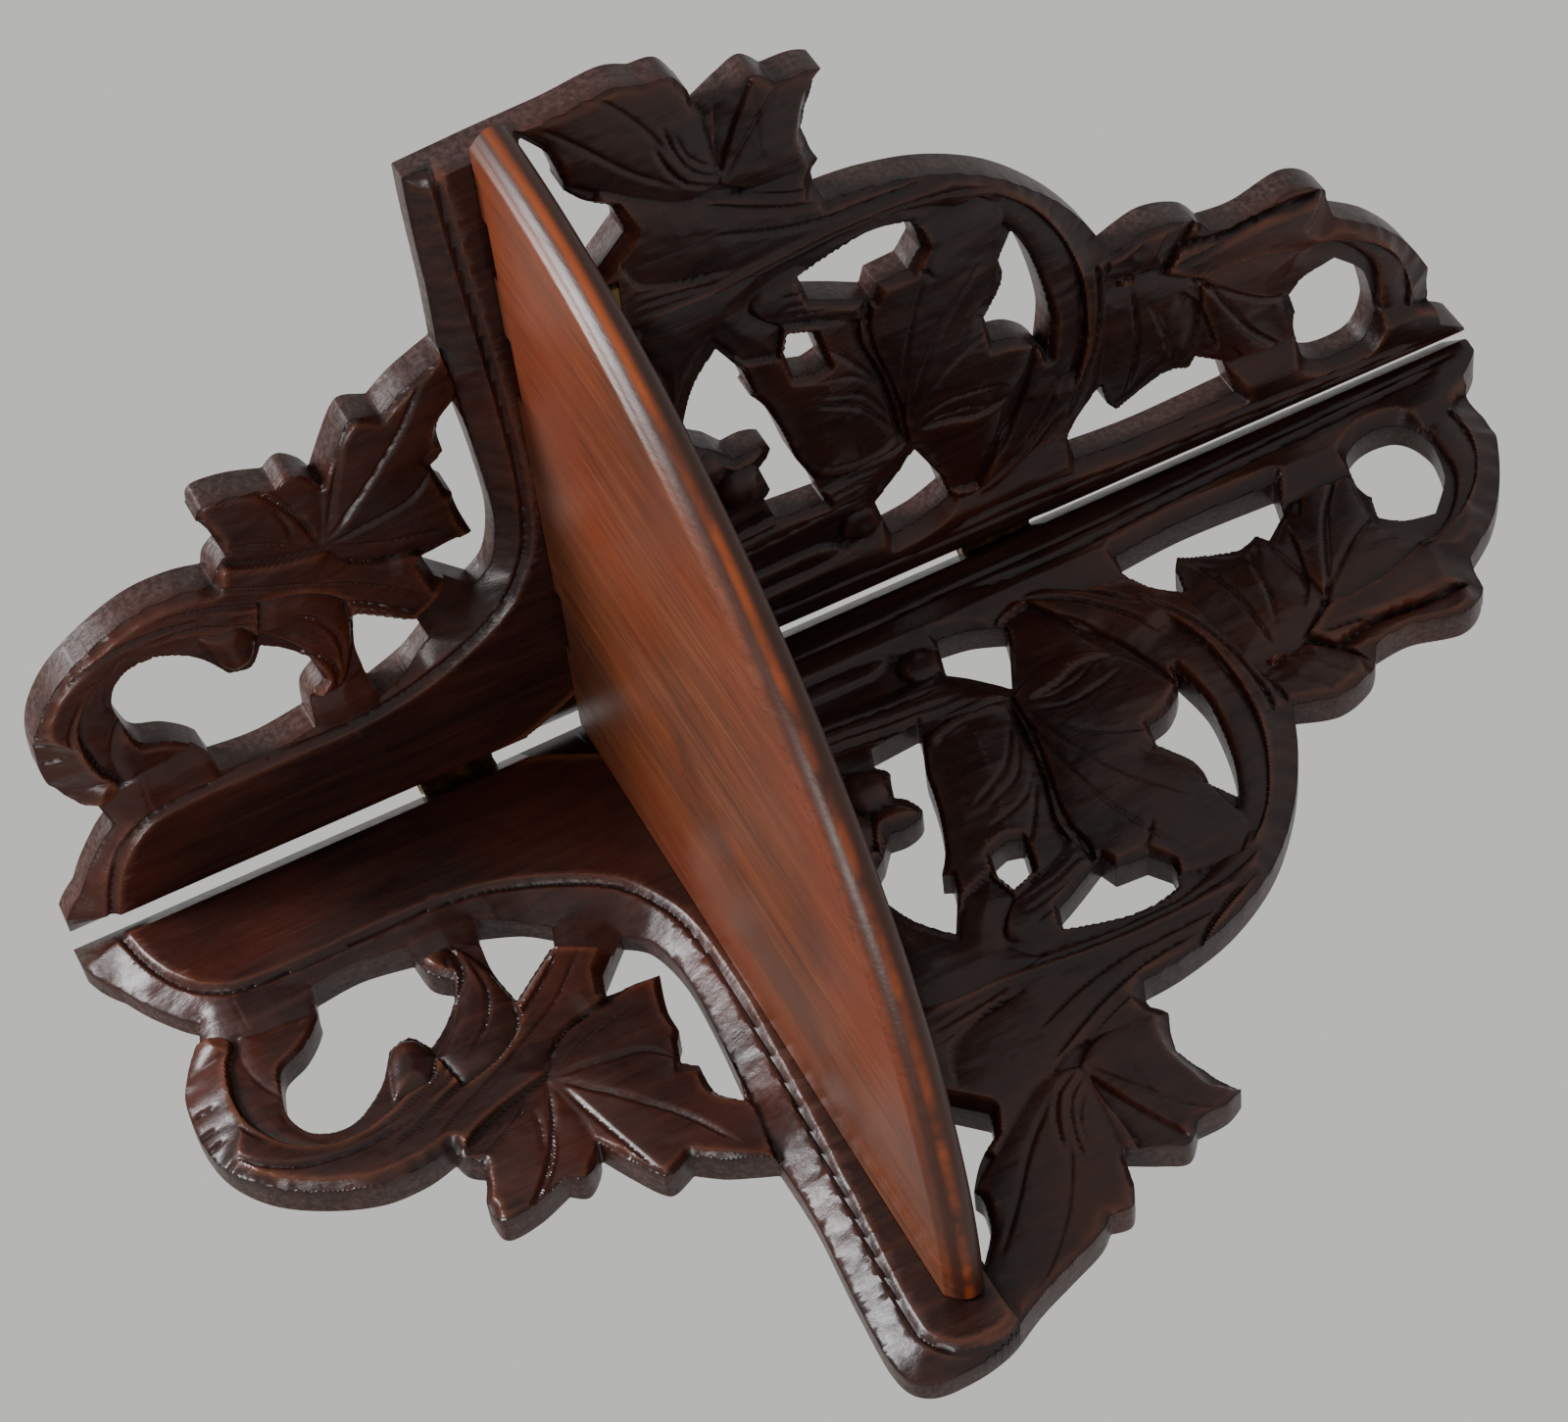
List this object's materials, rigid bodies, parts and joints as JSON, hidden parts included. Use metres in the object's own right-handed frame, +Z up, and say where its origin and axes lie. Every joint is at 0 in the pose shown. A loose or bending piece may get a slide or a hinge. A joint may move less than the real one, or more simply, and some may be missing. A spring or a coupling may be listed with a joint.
{
  "type": "corner shelf",
  "caption": "Carved folding corner shelf: two pierced vine and grape panels hinged at the corner, with a quarter-round shelf that folds up against one panel",
  "frame": {"origin": "The lower end of the corner line, where the two back planes meet. The shelf hangs from here in the corner of a room.", "axes": "+Z up along the corner line. The left panel's back lies on x = 0 and it runs along -Y; the right panel's back lies on y = 0 and it runs along +X. The carved fronts face +X and -Y, into the room."},
  "size_m": [0.2271, 0.2139, 0.4003],
  "materials": {
    "carved_wood": "dark stained, waxed",
    "shelf_wood": "red-brown stained, waxed",
    "hinge_brass": "aged brass",
    "screw_steel": "aged steel"
  },
  "bodies": {
    "left": {"corner_hinge_lower_leaf_left": "hinge_brass", "corner_hinge_lower_pin": "screw_steel", "corner_hinge_upper_leaf_left": "hinge_brass", "corner_hinge_upper_pin": "screw_steel", "inner_shelf_hinge_panel_screw_1": "screw_steel", "inner_shelf_hinge_panel_screw_2": "screw_steel", "left_hanger_plate": "hinge_brass", "left_hanger_screw_1": "screw_steel", "left_hanger_screw_2": "screw_steel", "left_panel": "carved_wood", "lower_left_hinge_screw_1": "screw_steel", "lower_left_hinge_screw_2": "screw_steel", "outer_shelf_hinge_panel_screw_1": "screw_steel", "outer_shelf_hinge_panel_screw_2": "screw_steel", "shelf_hinge_inner_leaf_panel": "hinge_brass", "shelf_hinge_inner_pin": "screw_steel", "shelf_hinge_outer_leaf_panel": "hinge_brass", "shelf_hinge_outer_pin": "screw_steel", "upper_left_hinge_screw_1": "screw_steel", "upper_left_hinge_screw_2": "screw_steel"},
    "right": {"corner_hinge_lower_leaf_right": "hinge_brass", "corner_hinge_upper_leaf_right": "hinge_brass", "lower_right_hinge_screw_1": "screw_steel", "lower_right_hinge_screw_2": "screw_steel", "right_hanger_plate": "hinge_brass", "right_hanger_screw_1": "screw_steel", "right_hanger_screw_2": "screw_steel", "right_panel": "carved_wood", "upper_right_hinge_screw_1": "screw_steel", "upper_right_hinge_screw_2": "screw_steel"},
    "shelf": {"inner_shelf_hinge_board_screw_1": "screw_steel", "inner_shelf_hinge_board_screw_2": "screw_steel", "outer_shelf_hinge_board_screw_1": "screw_steel", "outer_shelf_hinge_board_screw_2": "screw_steel", "shelf": "shelf_wood", "shelf_hinge_inner_leaf_shelf": "hinge_brass", "shelf_hinge_outer_leaf_shelf": "hinge_brass"}
  },
  "joints": [
    {"name": "panel_fold", "type": "hinge", "parent": "left", "child": "right", "pos_m": [-0.0008, 0.0008, 0], "axis": [0, 0, 1], "range_deg": [0, 270]},
    {"name": "shelf_fold", "type": "hinge", "parent": "left", "child": "shelf", "pos_m": [0.0123, 0, 0.1498], "axis": [0, -1, 0], "range_deg": [0, 90]}
  ]
}
